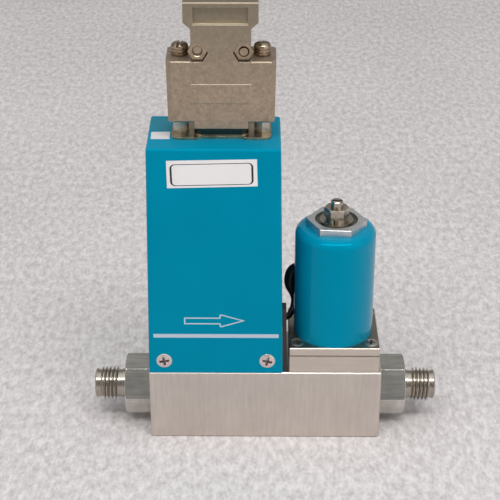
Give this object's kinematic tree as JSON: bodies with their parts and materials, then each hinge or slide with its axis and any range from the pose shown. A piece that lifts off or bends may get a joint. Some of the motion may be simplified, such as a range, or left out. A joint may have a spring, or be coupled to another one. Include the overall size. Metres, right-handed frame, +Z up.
{
  "type": "mass flow controller",
  "caption": "Thermal mass flow controller: steel flow block with a compression fitting at each end, teal cover, plugged D connector hood and a capped solenoid control valve.",
  "frame": {"origin": "bottom centre of the flow block, midway between the two fittings", "axes": "+X with the flow from inlet to outlet, +Y to the back, +Z up through the connector hood"},
  "size_m": [0.1146, 0.0276, 0.1489],
  "materials": {
    "stainless": "fine brushed stainless steel",
    "fitting_steel": "turned and milled stainless steel",
    "plated_screws": "bright plated steel",
    "inner_steel": "machined steel",
    "cover_paint": "satin teal paint on drawn sheet",
    "cap_paint": "gloss teal paint",
    "bracket_sheet": "folded sheet",
    "hood_casting": "satin nickel on a die casting",
    "hood_fixings": "nickel plated steel",
    "shell_chromate": "yellow chromated sheet",
    "post_steel": "nickel plated steel",
    "contact_gold": "gold flash",
    "black_plastic": "black moulded plastic",
    "seal_rubber": "black elastomer",
    "board_green": "solder-masked laminate",
    "trimmer_blue": "blue moulded plastic",
    "capacitor_case": "drawn can",
    "copper_wire": "enamelled copper wire",
    "sensor_metal": "machined and drawn metal",
    "nut_aluminium": "bright machined aluminium",
    "lead_black": "black lead jacket",
    "seal_polymer": "pale seat disc"
  },
  "bodies": {
    "controller": {"base_block": "stainless", "inlet_fitting": "fitting_steel", "outlet_fitting": "fitting_steel", "inlet_seal": "seal_rubber", "outlet_seal": "seal_rubber", "flow_restrictor": "inner_steel", "chassis_bracket": "bracket_sheet", "bracket_screws": "plated_screws", "sensor_base": "sensor_metal", "sensor_screws": "inner_steel", "sensor_seals": "seal_rubber", "sensor_tube": "inner_steel", "upstream_winding": "copper_wire", "downstream_winding": "copper_wire", "sensor_case": "sensor_metal", "main_board": "board_green", "board_screws": "plated_screws", "board_chips": "black_plastic", "trimmers": "trimmer_blue", "capacitors": "capacitor_case", "cover": "cover_paint", "cover_screws": "plated_screws", "receptacle_shell": "shell_chromate", "receptacle_insulator": "black_plastic", "receptacle_pins": "contact_gold", "jack_posts": "post_steel", "jack_nuts": "post_steel", "plug_shell": "shell_chromate", "plug_insulator": "black_plastic", "plug_contacts": "contact_gold", "hood_front_shell": "hood_casting", "hood_rear_shell": "hood_casting", "hood_screws": "hood_fixings", "hood_nuts": "hood_fixings", "jackscrews": "hood_fixings", "valve_body": "stainless", "valve_flange": "stainless", "flange_screws": "plated_screws", "valve_seal": "seal_rubber", "valve_seat": "inner_steel", "guide_tube": "inner_steel", "plunger_spring": "inner_steel", "pole_piece": "inner_steel", "adjusting_stem": "plated_screws", "coil_bobbin": "black_plastic", "coil_winding": "copper_wire", "valve_cap": "cap_paint", "cap_nut": "nut_aluminium", "flat_washer": "plated_screws", "lock_washer": "plated_screws", "lock_nut": "plated_screws", "lead_guard": "black_plastic", "lead_grommet": "seal_rubber", "valve_lead": "lead_black"},
    "plunger": {"plunger": "inner_steel", "plunger_seal": "seal_polymer"}
  },
  "joints": [
    {"name": "plunger_lift", "type": "slide", "parent": "controller", "child": "plunger", "axis": [0, 0, 1], "range_m": [0, 0.0005], "stiffness_N_per_m": 500, "springref_m": -0.004, "deforming": ["plunger_spring"]}
  ]
}
